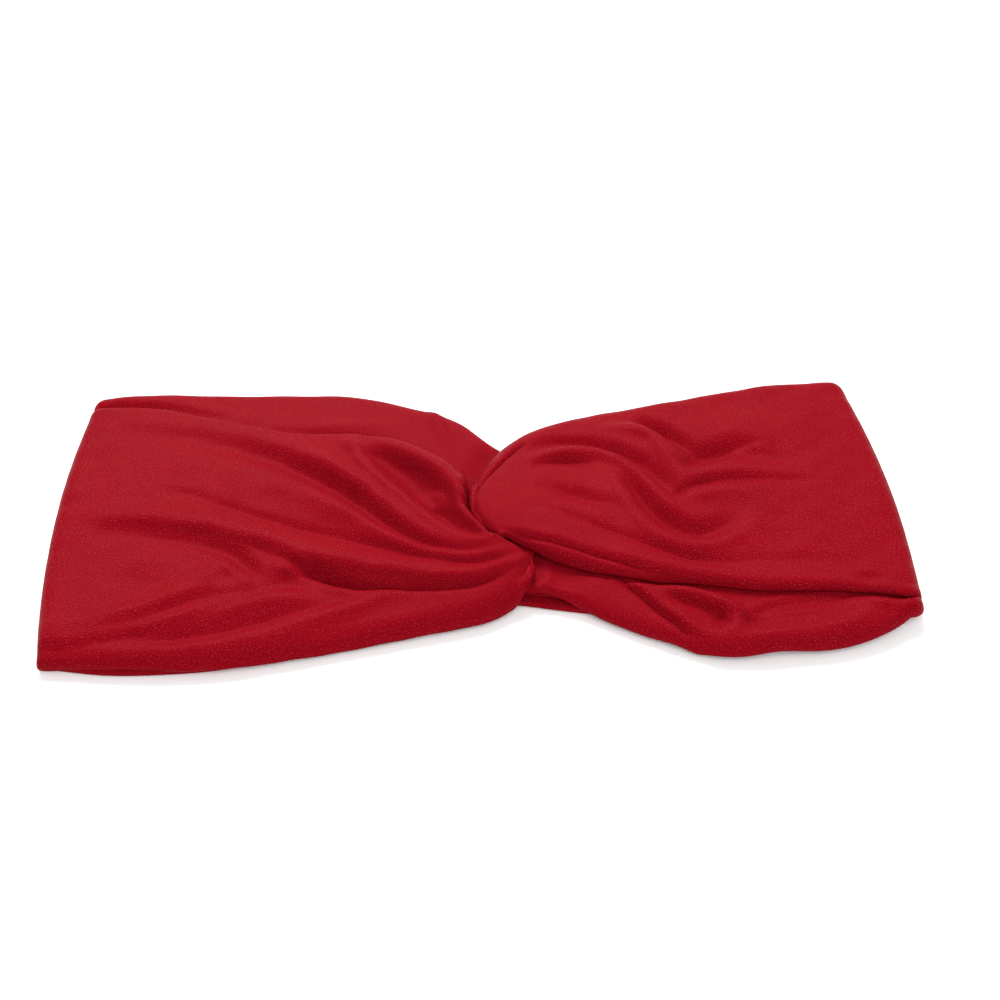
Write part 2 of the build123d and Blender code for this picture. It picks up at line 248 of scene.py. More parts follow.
# ---- folds in the cloth ----
# Each fold follows a line of (x, y, height, width). A ridge stands up, a valley has a negative
# height. "far" and "near" stretch the width on the left and right of the line, and "lean"
# tips the crest to the right of it, so that the fold hangs over.
LEFT_FOLDS = [
    # rim along the far edge, and the hollow beside it
    dict(line=[
        (-40, 26, 0, 3), (-32.7, 25, 1.0, 3), (-25.8, 23.6, 1.8, 3), (-18.5, 18.8, 2.2, 2.8),
        (-12.9, 13.6, 2.2, 2.6), (-8, 7, 2.0, 2.5), (-5.1, 0, 1.8, 2.4), (-2.8, -8.2, 1.4, 2.2),
        (0.8, -14.6, 0.8, 2), (5, -17.6, 0.2, 2),
    ]),
    dict(line=[
        (-37, 28, 0, 4), (-29, 22.5, -2.4, 4.6), (-22, 15, -4.2, 5.2), (-16.5, 6, -4.8, 5.0),
        (-11.5, -3, -4.2, 4.0), (-6.5, -10.5, -2.4, 2.6), (-1, -16, -0.6, 1.8),
    ]),
    # ridges and valleys that run into the twist from the far edge to the middle
    dict(line=[
        (-40, 29, 0, 2.2), (-36.2, 25.5, 1.0, 2.2), (-33.9, 19, 1.7, 2.4), (-30, 12, 2.1, 2.5),
        (-24.5, 5, 2.1, 2.5), (-19.2, -2, 2.0, 2.4), (-14.5, -8.5, 1.8, 2.2), (-8.7, -14.5, 1.4, 1.9),
        (-0.8, -18.5, 0.9, 1.6), (7.2, -19.6, 0, 1.5),
    ]),
    dict(line=[
        (-114, 44, 0, 4), (-100, 42, 0.5, 4), (-84, 38, 0.8, 4), (-70, 33.5, 0.9, 4),
        (-57, 27, 1.3, 3.8), (-44.2, 18.4, 1.8, 3.4), (-36.5, 11, 2.0, 3), (-29.6, 3, 2.0, 2.8),
        (-22, -6.6, 1.8, 2.6), (-14.1, -14.4, 1.4, 2.2), (-6.2, -18.9, 1.0, 1.8), (4.5, -20.6, 0, 1.6),
    ]),
    dict(line=[
        (-112, 39, 0, 4.5), (-96, 35.5, -0.4, 4.5), (-84, 32, -0.7, 4.5), (-72, 28, -1.1, 4.5),
        (-61, 22.8, -1.8, 4.2), (-51, 16, -2.6, 4), (-43.3, 9.5, -3.0, 3.7), (-37.5, 4, -3.2, 3.5),
        (-33.1, -1.5, -3.2, 3.3), (-27.6, -7.6, -2.9, 2.9), (-22.3, -12.8, -2.2, 2.3),
        (-14.3, -18.1, -1.5, 1.8), (-6.3, -21.2, -0.8, 1.5), (2, -22.4, 0, 1.3),
    ]),
    dict(line=[
        (-100, 26, 0, 7), (-84, 22, 0.4, 7), (-72.7, 17.4, 0.6, 6.5), (-61.2, 12.5, 0.9, 6),
        (-49.8, 6, 1.4, 5.4), (-40, -1, 2.0, 4.8), (-33, -6, 2.0, 4), (-25, -13.5, 1.8, 3),
        (-17, -18.6, 1.4, 2.3), (-8, -21.8, 1.0, 1.9), (2, -23.4, 0.6, 1.6), (10, -22, 0, 1.5),
    ]),
    dict(line=[
        (-98, 12, 0, 2.2), (-84, 8, -0.6, 2.2), (-71.8, 1.4, -0.9, 2.1), (-57.7, -5.6, -1.1, 2.1),
        (-49.4, -9.4, -1.2, 2.1), (-38.5, -13.2, -1.4, 2.4), (-30.4, -16.2, -1.4, 2.0),
        (-22.4, -19.4, -1.4, 1.8), (-14.4, -22.2, -1.3, 1.6), (-6.5, -24.6, -1.2, 1.5),
        (1.5, -25.6, -1.0, 1.4), (6.9, -25, -0.6, 1.3), (11.4, -22.4, 0, 1.2),
    ]),
    # the long roll over the near half, the crease under it and the hollow at its far end
    dict(line=[
        (-115, 2, 0, 5), (-104, 0.6, 1.2, 5), (-92, -1.8, 1.8, 5), (-78, -5.6, 2.2, 5),
        (-64, -11.4, 2.4, 5), (-50, -17.6, 2.4, 4.6), (-36, -22.8, 2.3, 4.2), (-24, -26, 2.1, 3.6),
        (-12, -28.6, 1.8, 3.0), (-2, -29.4, 1.5, 2.6), (5.5, -28, 1.1, 2.2), (10.5, -25, 0.6, 1.9),
        (13, -22, 0, 1.7),
    ], near=0.75, lean=0.8),
    dict(line=[
        (-66, -13, 0, 2.4), (-57.4, -18.6, -1.6, 2.4), (-52, -22.4, -2.6, 2.1),
        (-46.6, -25.4, -3.2, 1.9), (-41.3, -28, -3.4, 1.7), (-34, -30.4, -3.0, 1.5),
        (-26, -31.8, -2.2, 1.4), (-17.5, -32.6, -1.8, 1.3), (-9.6, -33.1, -1.6, 1.3),
        (-1.6, -32.2, -1.4, 1.3), (3.9, -30.3, -1.0, 1.2), (8.4, -27, -0.4, 1.2), (11, -24, 0, 1.2),
    ]),
    dict(line=[
        (-62, -27, 0, 4), (-54, -29, -1.2, 4), (-47, -31.5, -1.4, 3.8), (-38, -34, -1.0, 3.2),
        (-30, -34, -0.4, 2.5), (-24, -33, 0, 2),
    ]),
    dict(line=[
        (-113, -4, 0, 4), (-101, -6.5, -1.2, 4.4), (-89, -9, -2.1, 4.4), (-78, -12.6, -2.7, 4.4),
        (-70, -17.6, -3.1, 4.2), (-65, -23, -2.9, 3.6), (-62, -28, -1.2, 3.2), (-60, -31, 0, 3),
    ]),
    # soft ridges and dips of the near edge
    dict(line=[
        (-20, -31.5, 0, 2.6), (-28, -34, 0.8, 3), (-38.6, -39, 1.3, 3.2), (-46.3, -42.2, 1.5, 3.4),
        (-54, -45, 1.5, 3.6), (-62, -47.6, 1.4, 3.6), (-74, -50.2, 1.2, 3.4), (-88, -51.2, 1.0, 3.2),
        (-104, -50, 0.8, 3), (-116, -48, 0, 3),
    ]),
    dict(line=[
        (-98, -47.5, 0, 2), (-84, -47, -0.7, 2), (-70, -44.8, -0.9, 2), (-56, -41, -0.9, 2),
        (-42, -36.8, -0.6, 2), (-31, -34.5, 0, 2),
    ]),
    dict(line=[
        (-112, -37, 0, 4), (-101, -36, 0.9, 4), (-89, -32.5, 1.5, 4), (-80, -27.6, 1.7, 3.6),
        (-74, -23.4, 1.2, 3.2), (-70, -20.5, 0, 3),
    ]),
    dict(line=[
        (-106, -42, 0, 3), (-95, -40.5, -0.9, 3.4), (-85, -36.8, -1.3, 3.4), (-76, -33.4, -1.1, 3.2),
        (-68, -32.4, -0.8, 3), (-61, -31.5, 0, 3),
    ]),
    dict(line=[
        (-98, -46, 0, 3), (-87, -42.6, 0.9, 3.2), (-74, -38.6, 1.3, 3.2), (-61, -35.2, 1.4, 3.2),
        (-49, -33, 0.8, 3), (-41, -32, 0, 3),
    ]),
]
LEFT_RETURN_FOLDS = [
    dict(line=[
        (-12, 45, 0.3, 1.6), (-11, 41, 0.9, 1.6), (-9.9, 36, 0.8, 1.5), (-7.8, 30, 0.6, 1.4),
        (-5.1, 25, 0, 1.4),
    ]),
    dict(line=[
        (-52, 38, 0, 3), (-43, 38, 0.7, 3), (-34, 37.6, 0.9, 3), (-26, 36, 0.5, 2.8),
        (-20, 33, 0, 2.4),
    ]),
]
RIGHT_FOLDS = [
    # the raised middle and the arched valley round it
    dict(line=[
        (14, 12.5, 0, 3), (22, 16.6, 1.0, 3), (28.4, 17.8, 1.5, 3), (34, 17.8, 1.7, 2.8),
        (39.6, 15.8, 1.8, 2.8), (44.2, 12, 1.8, 2.8), (48.6, 6.8, 1.7, 2.8), (51.6, 0.6, 1.5, 2.8),
        (55, -5.6, 1.2, 2.8), (59.4, -10.2, 0.7, 2.8), (65, -13, 0, 2.8),
    ], far=0.8),
    dict(line=[
        (14, 18.4, 0, 2.2), (20.5, 22.2, -1.4, 2.4), (29.8, 23.6, -2.0, 2.6), (38.8, 21.4, -2.5, 2.8),
        (44.8, 18.2, -2.8, 3), (49.8, 13.5, -3.0, 3.1), (53.7, 7.5, -2.8, 3), (56.5, 1.6, -1.8, 3),
        (60, -3.5, 0, 3),
    ]),
    dict(line=[
        (38, 29.5, 0, 2.4), (43, 29.6, 0.7, 2.6), (49.2, 28.6, 1.4, 2.6), (54.4, 25.2, 1.7, 2.6),
        (57.4, 18.8, 1.7, 2.6), (59.6, 11.6, 1.3, 2.6), (61.5, 4.5, 0.7, 2.6), (65, -1, 0, 2.6),
    ]),
    dict(line=[
        (50, 34.4, 0, 2.2), (53.8, 31.8, -2.0, 2.6), (58.6, 27.6, -3.2, 2.9), (63, 22.8, -3.0, 3.1),
        (67, 17, -1.6, 3.4), (69, 13, 0, 3.6),
    ]),
    dict(line=[
        (60, 9.5, 0, 3), (64, 12.4, -1.6, 3.4), (68.7, 15.8, -2.8, 4), (74.6, 18, -3.8, 4.4),
        (81.3, 17.8, -3.8, 4.6), (87.6, 15.6, -2.8, 4.8), (94, 12.8, -1.2, 5), (101, 10, 0, 5),
    ]),
    dict(line=[
        (72, 34, 0, 5), (84, 32, 0.8, 6), (98, 28, 0.8, 7), (110, 25, 0, 7),
    ]),
    dict(line=[
        (61, 4, 0, 2.8), (65.4, 6.4, 1.0, 3), (71.5, 7.8, 1.3, 3.2), (79, 8.2, 1.2, 3.4),
        (88, 8.2, 0.7, 3.4), (98, 7.6, 0, 3.4),
    ]),
    dict(line=[
        (56, -2, 0, 1.4), (58.8, -0.4, -1.0, 1.5), (62.2, 1.7, -1.3, 1.6), (66.6, 3.2, -1.3, 1.7),
        (73.2, 4.2, -1.1, 1.8), (82, 4.4, -0.8, 1.8), (92.8, 3.9, -0.6, 2), (104.8, 3.6, 0, 2.2),
    ]),
    dict(line=[
        (58, -5, 0, 3), (66, -1.8, 0.9, 3.2), (74, -0.4, 1.1, 3.6), (84, -1.6, 0.4, 4), (94, -3, 0, 4),
    ]),
    dict(line=[
        (42, 8, 0, 2.4), (45.2, 3.2, -1.8, 2.8), (47.6, -2, -2.6, 3), (50.6, -8.2, -2.9, 3.2),
        (54.2, -12.8, -3.0, 3.2), (58.8, -16, -2.8, 3.2), (64.4, -16.6, -2.2, 3.2),
        (70.4, -14.4, -1.2, 3.2), (77, -10.5, 0, 3.4),
    ]),
    dict(line=[
        (37, 11, 0, 2.4), (40.6, 5.6, 0.9, 2.4), (42.3, -0.6, 1.3, 2.4), (43.9, -7.2, 1.4, 2.6),
        (47.2, -14.4, 1.4, 2.8), (52.6, -20.2, 1.3, 2.8), (60.4, -22.8, 1.1, 3), (69, -21.2, 1.0, 3),
        (76.5, -16, 0.6, 3.4), (85, -11.5, 0, 4),
    ]),
    dict(line=[
        (16, 10.6, 0, 1.6), (20, 12.9, -1.3, 1.9), (26, 14, -1.9, 2), (32, 13, -1.2, 1.9),
        (36, 10.8, 0, 1.8),
    ]),
    dict(line=[
        (17, 3.4, 0, 2.6), (22, 1.4, -1.1, 2.8), (27, -0.6, -1.8, 3), (33, -3, -1.8, 3),
        (38, -5.4, -0.9, 2.8), (42, -7.6, 0, 2.6),
    ]),
    dict(line=[
        (17, -5.6, 0, 1.5), (27.2, -10.8, -0.7, 1.5), (36.1, -15.8, -1.0, 1.6), (43.9, -20, -1.1, 1.7),
        (51.5, -24.2, -1.2, 1.8), (59.2, -27.6, -1.1, 1.9), (67.2, -28.6, -0.8, 2.1),
        (75.4, -28.8, -0.6, 2.3), (92, -29.2, -0.5, 2.6), (109.9, -29.4, 0, 3),
    ]),
    # rim of the near edge, and the crease that parts its turned edge from it
    dict(line=[
        (9, -14.6, 0, 1.6), (14, -15.8, 0.2, 1.7), (24, -19.4, 0.4, 1.8), (33.4, -23.2, 0.4, 1.8),
        (44.4, -27.8, 0.4, 1.9), (55.3, -31, 0.4, 2), (63.5, -33.2, 0.4, 2.2), (72, -34.8, 0.4, 2.3),
        (84, -35.6, 0.4, 2.4), (96, -36.6, 0.4, 2.4), (106, -37.4, 0.2, 2.4), (112, -38, 0, 2.4),
    ]),
    dict(line=[
        (6.5, -15.2, 0, 0.95), (11.5, -17.2, -0.9, 0.95), (18.5, -19.8, -1.2, 0.95),
        (26.5, -23.2, -1.3, 0.95), (34, -26.5, -1.3, 0.95), (43.5, -30, -1.3, 0.95),
        (50, -32, -1.0, 0.95), (55.5, -33.6, 0, 0.95),
    ]),
    dict(line=[
        (103, -35.8, 0, 1.8), (107, -36.2, -1.2, 2.0), (110.5, -36.2, -1.0, 2.0), (114, -36.4, 0, 1.8),
    ]),
    # pleat beside the edge that turns down at the twist
    dict(line=[
        (17, 24, 0, 0.9), (14, 21.4, -0.9, 0.9), (9.6, 16.2, -1.3, 0.9), (5.4, 10.4, -1.4, 0.9),
        (2.2, 5.6, -1.2, 0.8), (-0.2, 0.8, -0.6, 0.8), (-0.8, -2, 0, 0.8),
    ]),
]
RIGHT_RETURN_FOLDS = [
    # the lap that crosses the near strand, and the crease beside it
    dict(line=[
        (38.6, -25, 0, 2.6), (42.8, -33, 0.9, 2.6), (49, -41.5, 1.1, 2.6), (56.2, -50, 1.1, 2.6),
        (62.4, -57, 0.3, 2.6),
    ], near=0.5, lean=0.9),
    dict(line=[
        (34.6, -25, 0, 1.1), (39.2, -33, -1.1, 1.1), (45.6, -42, -1.3, 1.1), (53, -51, -1.2, 1.1),
        (58.6, -57.4, 0, 1.1),
    ]),
    dict(line=[
        (58, -50, 0, 3), (64, -53.6, 0.9, 3), (70, -55, 1.3, 3.2), (80, -55.2, 1.4, 3.4),
        (88, -54.2, 1.3, 3.4), (98, -51.4, 1.2, 3.2), (106, -48, 0.9, 3), (113, -44.5, 0, 3),
    ]),
    dict(line=[
        (96, -43.4, 0, 2.2), (104, -43.8, 1.4, 2.2), (111, -45, 2.0, 2.2), (118, -46, 1.8, 2.2),
    ]),
    # the hooked fold and the hollows on each side of it
    dict(line=[
        (46, -34.5, 0, 2), (52, -37, 1.4, 2), (58.5, -39.6, 2.2, 2.1), (64.6, -42.8, 2.6, 2.1),
        (68, -46.8, 2.5, 2.1), (67.6, -50.8, 1.4, 2.1), (63, -52.4, 0, 2.1),
    ]),
    dict(line=[
        (49, -38.5, 0, 1.6), (54.5, -41.2, -1.6, 1.8), (60, -44.2, -2.0, 1.9), (63.4, -47, -1.8, 1.9),
        (63, -49.6, -0.8, 1.9), (60, -50.6, 0, 1.9),
    ]),
    dict(line=[
        (70.5, -52, 0, 2.4), (72.5, -48.6, -1.6, 3), (77.5, -45, -2.2, 3.2), (85, -43.4, -2.1, 3.2),
        (96, -42.8, -1.6, 3), (104, -42.4, -0.6, 3), (108, -42.6, 0, 3),
    ]),
]


def along(rows, step):
    """Rows spaced evenly along a smooth run through the given ones.

    Each column is a cubic Hermite curve whose slope at a row is the slope of the parabola
    through it and its neighbours. The distance from row to row is half the outer edge's and
    half the middle's."""
    rows = np.asarray(rows, float)
    middle = (rows[:, 0:2] + rows[:, 2:4]) / 2 if rows.shape[1] > 4 else rows[:, 0:2]
    edge = np.linalg.norm(np.diff(rows[:, 0:2], axis=0), axis=1)
    hops = 0.5 * np.linalg.norm(np.diff(middle, axis=0), axis=1) + 0.5 * edge
    at = np.concatenate([[0], np.cumsum(np.maximum(hops, 1e-6))])
    slope = np.diff(rows, axis=0) / np.diff(at)[:, None]
    before, after = np.diff(at)[:-1, None], np.diff(at)[1:, None]
    inner = (slope[:-1] * after + slope[1:] * before) / (before + after)
    tangent = np.vstack([slope[:1], inner, slope[-1:]])
    count = max(2, int(round(at[-1] / step)) + 1)
    want = np.linspace(0, at[-1], count)
    k = np.clip(np.searchsorted(at, want, side="right") - 1, 0, len(at) - 2)
    span = (at[k + 1] - at[k])[:, None]
    q = (want - at[k])[:, None] / span
    return (
        (2 * q**3 - 3 * q**2 + 1) * rows[k]
        + (q**3 - 2 * q**2 + q) * span * tangent[k]
        + (3 * q**2 - 2 * q**3) * rows[k + 1]
        + (q**3 - q**2) * span * tangent[k + 1]
    )


def roll(distance, width):
    """1 at an edge, falling to 0 at width from it along a quarter of an ellipse."""
    q = 1 - np.clip(distance / width, 0, 1)
    return 1 - np.sqrt(1 - q**2)


def sheet_points(rows):
    """The middle surface of a strand: straight across in plan from edge to edge. Its height is a
    parabola through the three given heights, less each edge's roll."""
    outer, inner = rows[:, None, 0:2], rows[:, None, 2:4]
    s = np.linspace(0, 1, TOP_COLUMNS + 1)[None, :]
    plan = outer + (inner - outer) * s[..., None]
    width = np.linalg.norm(rows[:, 2:4] - rows[:, 0:2], axis=1)[:, None]
    z0, z1, z2 = rows[:, 4:5], rows[:, 5:6], rows[:, 6:7]
    height = z0 * (1 - s) * (1 - 2 * s) + z1 * 4 * s * (1 - s) + z2 * s * (2 * s - 1)
    widest = WIDEST_ROLL * width
    height = height - rows[:, 7:8] * roll(s * width, np.minimum(OUTER_ROLL, widest))
    inner_roll = INNER_ROLL + INNER_ROLL_MORE * rows[:, 8:9]
    height = height - rows[:, 8:9] * roll((1 - s) * width, np.minimum(inner_roll, widest))
    return np.concatenate([plan, height[..., None]], axis=2)


def nearest_on_line(points, path):
    """For each plan point, the nearest place on a path of straight pieces: which piece, how far
    along it from 0 to 1, and the offset from there to the point."""
    start = path[:-1, 0:2]
    run = path[1:, 0:2] - start
    offset = points[:, None] - start[None]
    t = np.clip((offset * run).sum(2) / np.maximum((run**2).sum(1), 1e-9), 0, 1)
    gap = offset - t[..., None] * run
    k = np.linalg.norm(gap, axis=2).argmin(1)
    pick = np.arange(len(k))
    return k, t[pick, k], gap[pick, k]


def fold(points, line, far=1.0, near=1.0, lean=0.0):
    """Adds one fold: its height is a bell curve of the distance to a line, whose height and
    width change along it. With lean, the crest also moves to the right of the line."""
    path = along(line, FOLD_STEP)
    flat = points.reshape(-1, 3).copy()
    reach = FOLD_REACH * np.abs(path[:, 3]).max() * max(far, near)
    low, high = path[:, 0:2].min(0) - reach, path[:, 0:2].max(0) + reach
    near_by = np.all((flat[:, 0:2] > low) & (flat[:, 0:2] < high), axis=1)
    moved = flat[near_by]
    k, t, gap = nearest_on_line(moved[:, 0:2], path)
    height = path[k, 2] * (1 - t) + path[k + 1, 2] * t
    width = path[k, 3] * (1 - t) + path[k + 1, 3] * t
    run = path[k + 1, 0:2] - path[k, 0:2]
    direction = run / np.maximum(np.linalg.norm(run, axis=1), 1e-9)[:, None]
    left = np.stack([-direction[:, 1], direction[:, 0]], axis=1)
    stretch = np.where((gap * left).sum(1) > 0, far, near)
    distance = np.linalg.norm(gap, axis=1) / stretch / width
    moved[:, 2] += height * np.exp(-(distance**2))
    if lean:
        most = np.abs(path[:, 2]).max()
        push = lean * (height / most) * np.exp(-((distance * LEAN_FALL) ** 2))
        moved[:, 0:2] -= left * push[:, None]
    flat[near_by] = moved
    return flat.reshape(points.shape)


def ripples(sheet, amount, seed):
    """Adds small soft waves: a sum of sines of the place along and across the strand, with
    seeded directions, lengths and phases."""
    draw = np.random.default_rng(seed)
    wave = np.zeros(sheet.shape[:2])
    for _ in range(RIPPLE_COUNT):
        turn = draw.uniform(0, math.pi)
        length = draw.uniform(*RIPPLE_LENGTHS)
        phase = draw.uniform(0, 2 * math.pi)
        travel = sheet[..., 0] * math.cos(turn) + sheet[..., 1] * math.sin(turn)
        wave += np.sin(2 * math.pi * travel / length + phase)
    waved = sheet.copy()
    waved[..., 2] += amount * wave / math.sqrt(RIPPLE_COUNT)
    return waved


def gathers(sheet, seed):
    """Waves that run into the centre-back seam: a sum of sines of y, largest at the seam and
    fading with the distance from it."""
    draw = np.random.default_rng(seed)
    wave = np.zeros(sheet.shape[:2])
    for length in GATHER_LENGTHS:
        wave += np.sin(2 * math.pi * sheet[..., 1] / length + draw.uniform(0, 2 * math.pi))
    gathered = sheet.copy()
    gathered[..., 2] += GATHER * wave * np.exp(-np.abs(sheet[..., 0]) / GATHER_REACH)
    return gathered


def smooth(values, passes):
    """Averages each row and column with its neighbours; the borders stay."""
    for _ in range(passes):
        values[1:-1] = (values[:-2] + 2 * values[1:-1] + values[2:]) / 4
        values[:, 1:-1] = (values[:, :-2] + 2 * values[:, 1:-1] + values[:, 2:]) / 4
    return values


def widen(values, steps):
    """The highest value within so many grid steps along rows and columns."""
    for _ in range(steps):
        grown = values.copy()
        grown[1:] = np.maximum(grown[1:], values[:-1])
        grown[:-1] = np.maximum(grown[:-1], values[1:])
        values = grown.copy()
        grown[:, 1:] = np.maximum(grown[:, 1:], values[:, :-1])
        grown[:, :-1] = np.maximum(grown[:, :-1], values[:, 1:])
        values = grown
    return values


def map_cells(points):
    """The height map's cell under each point."""
    cell = np.floor((points[..., 0:2] - MAP_LOW) / CELL).astype(int)
    return cell[..., 0], cell[..., 1]


def height_map(sheets, sign):
    """For sign 1 the highest top of the given strands over each cell of a plan grid, for sign -1
    the lowest underside, spread one cell each way; minus or plus infinity where there is none."""
    level = np.full(MAP_SIZE, -np.inf)
    for sheet in sheets:
        between_rows = (sheet[1:] + sheet[:-1]) / 2
        between_columns = (sheet[:, 1:] + sheet[:, :-1]) / 2
        for part in (sheet, between_rows, between_columns):
            flat = part.reshape(-1, 3)
            np.maximum.at(level, map_cells(flat), sign * flat[:, 2] + PLY_HALF)
    spread = level.copy()
    for dx in (-1, 0, 1):
        for dy in (-1, 0, 1):
            spread = np.maximum(spread, np.roll(np.roll(level, dx, 0), dy, 1))
    return sign * spread


def overlap(sheet, level, sign):
    """How far each point of a strand is past a level that it has to keep to, spread and
    smoothed so that the cloth turns softly."""
    past = sign * (level[map_cells(sheet)] - sheet[..., 2]) + PLY_HALF + LAYER_AIR
    past = np.where(np.isfinite(past), np.maximum(past, 0), 0)
    return smooth(widen(past, SPREAD_STEPS), SMOOTH_PASSES)


def tuck(sheet, above):
    """Lowers a strand to stay under the ones above it."""
    lowered = sheet.copy()
    lowered[..., 2] -= overlap(sheet, height_map(above, -1), -1)
    return lowered


def lay(sheet, below):
    """Raises a strand to lie on the ones below it."""
    raised = sheet.copy()
    raised[..., 2] += overlap(sheet, height_map(below, 1), 1)
    return raised


def front_and_return(front, bend, back, return_stride):
    """A loop's front strand as far as the bend's first station, and the rest of the bend with the
    return, of which one row in return_stride is kept."""
    sheet = sheet_points(along(front + bend + back, ROW_STEP))
    split = len(along(front + bend[:1], ROW_STEP))
    return sheet[:split], sheet[split::return_stride]


def crumple(sheet, folds, amount, seed):
    """Adds a strand's folds, then its small waves."""
    for one in folds:
        sheet = fold(sheet, **one)
    return ripples(sheet, amount, seed)


def rear_strand(stations, seed):
    """A strand of the rear half, gathered where the centre-back seam holds it."""
    return gathers(sheet_points(along(stations, HIDDEN_STEP)), seed)


def end_fold(from_rows, to_rows, side, stand_out):
    """Half an ellipse from the last line of one strand to the first line of the next, standing
    out past both by stand_out."""
    turn = np.linspace(0, math.pi, FOLD_ROWS + 2)[1:-1, None, None]
    blend = (1 - np.cos(turn)) / 2
    points = from_rows[None] * (1 - blend) + to_rows[None] * blend
    points[..., 0] += side * stand_out * np.sin(turn[..., 0])
    return points


def bow(points):
    """Draws the corners of the end folds in: x shrinks with the square of y from the middle of
    the end, and with a high power of x."""
    bowed = points.copy()
    share = (np.abs(points[..., 0]) / END_X) ** BOW_POWER
    centre = np.where(points[..., 0] < 0, BOW_Y[-1], BOW_Y[1])
    bowed[..., 0] -= np.sign(points[..., 0]) * share * BOW * (points[..., 1] - centre) ** 2
    return bowed


def whole_loop(side, rear, front, back, inner):
    """A loop's middle surface from seam to seam: rear strand, outer end fold, front strand,
    return, inner end fold and inner rear strand. The inner fold stands out further by a bell
    curve of the distance from the corner that nothing covers."""
    outer_turn = end_fold(rear[-1], front[0], side, OUTER_FOLD)
    bare = np.linalg.norm(back[-1] - back[-1, 0], axis=1)
    reach = INNER_FOLD + CORNER_FOLD * np.exp(-((bare / CORNER_WIDTH) ** 2))
    inner_turn = end_fold(back[-1], inner[0], side, reach)
    return bow(np.concatenate([rear, outer_turn, front, back, inner_turn, inner], axis=0))


def normals(grid):
    """Unit normals of a grid surface, from the cross product of its two directions."""
    n = np.cross(np.gradient(grid, axis=0), np.gradient(grid, axis=1))
    return n / np.maximum(np.linalg.norm(n, axis=2, keepdims=True), 1e-9)


def half_thickness(middle):
    """Half the tube's thickness over a middle surface: even, with a bell-shaped puff at each
    edge, and pressed down at the sewn ends."""
    width = np.linalg.norm(np.diff(middle, axis=1), axis=2).cumsum(1)
    width = np.concatenate([np.zeros((len(middle), 1)), width], axis=1)
    from_inner = width[:, -1:] - width
    half = PLY_HALF + EDGE_PUFF * np.exp(-((width / EDGE_REACH) ** 2))
    half += INNER_PUFF * np.exp(-((from_inner / EDGE_REACH) ** 2))
    half[0] = half[-1] = SEWN_HALF
    return half


def edge_cap(edge, inward, normal, radius, start):
    """A half circle round one edge of a tube, from the normal's side of the surface to the other
    when start is 1, and the other way when it is -1."""
    out = edge - inward
    out = out / np.maximum(np.linalg.norm(out, axis=1, keepdims=True), 1e-9)
    angle = np.linspace(0, math.pi, CAP_POINTS + 2)[1:-1]
    up = normal[:, None] * np.cos(angle)[None, :, None] * start
    away = out[:, None] * np.sin(angle)[None, :, None]
    return edge[:, None] + radius[:, None, None] * (up + away)


def tube_rings(middle):
    """One ring of points round the tube for each row of its middle surface: the outer ply stands
    off by the half thickness along the normal, the inner ply the other way, and a half circle
    joins them round each edge."""
    n = normals(middle)
    half = half_thickness(middle)
    outer = middle + n * half[..., None]
    inner = (middle - n * half[..., None])[:, ::-1][:, ::THINNING]
    inner_edge = edge_cap(middle[:, -1], middle[:, -2], n[:, -1], half[:, -1], 1)
    outer_edge = edge_cap(middle[:, 0], middle[:, 1], n[:, 0], half[:, 0], -1)
    rings = np.concatenate([outer, inner_edge, inner, outer_edge], axis=1)
    rings[..., 2] = np.maximum(rings[..., 2], FLOOR)
    return rings


def end_faces(ring):
    """The faces that close a tube over one ring: a strip from each step of the inner ply to the
    outer ply above it, and one face over each half circle."""
    top, below = TOP_COLUMNS, TOP_COLUMNS + 1 + CAP_POINTS
    faces = []
    for k in range(TOP_COLUMNS // THINNING):
        under = ring[below + k : below + k + 2]
        over = ring[top - THINNING * (k + 1) : top - THINNING * k + 1]
        faces.append(under + over)
    faces.append(ring[top : below + 1])
    faces.append(ring[-CAP_POINTS - 1 :] + ring[:1])
    return faces


def tube_faces(rows, columns):
    """Quads from each ring to the next, and the faces that close both ends."""
    index = np.arange(rows * columns).reshape(rows, columns)
    beside = np.roll(index, -1, axis=1)
    quads = np.stack([index[:-1], index[1:], beside[1:], beside[:-1]], axis=2).reshape(-1, 4)
    last = [face[::-1] for face in end_faces(index[-1].tolist())]
    return quads.tolist() + end_faces(index[0].tolist()) + last


def add_piece(name, points, faces):
    """An object at the origin with its place in its mesh. The points are in millimetres."""
    mesh = bpy.data.meshes.new(name)
    mesh.from_pydata((points.reshape(-1, 3) * MM).tolist(), [], faces)
    mesh.update()
    piece = bpy.data.objects.new(name, mesh)
    bpy.context.scene.collection.objects.link(piece)
    return piece


def map_cloth(mesh, rings, middle):
    """The UV map that the knit follows, in metres: the mean distance along the tube and the mean
    distance round it."""
    around = np.linalg.norm(np.diff(rings, axis=1), axis=2).mean(0).cumsum()
    around = np.concatenate([[0], around]) * MM
    length = np.linalg.norm(np.diff(middle, axis=0), axis=2).mean(1).cumsum()
    length = np.concatenate([[0], length]) * MM
    uv = np.stack(np.broadcast_arrays(length[:, None], around[None, :]), axis=2).reshape(-1, 2)
    corner = np.zeros(len(mesh.loops), np.int32)
    mesh.loops.foreach_get("vertex_index", corner)
    layer = mesh.uv_layers.new(name="cloth")
    layer.data.foreach_set("uv", uv[corner].astype(np.float32).ravel())


def knit_tube(name, middle):
    """A flattened, smooth-shaded knit tube round a middle surface."""
    rings = tube_rings(middle)
    piece = add_piece(name, rings, tube_faces(*rings.shape[:2]))
    map_cloth(piece.data, rings, middle)
    piece.data.polygons.foreach_set("use_smooth", np.ones(len(piece.data.polygons), bool))
    return piece


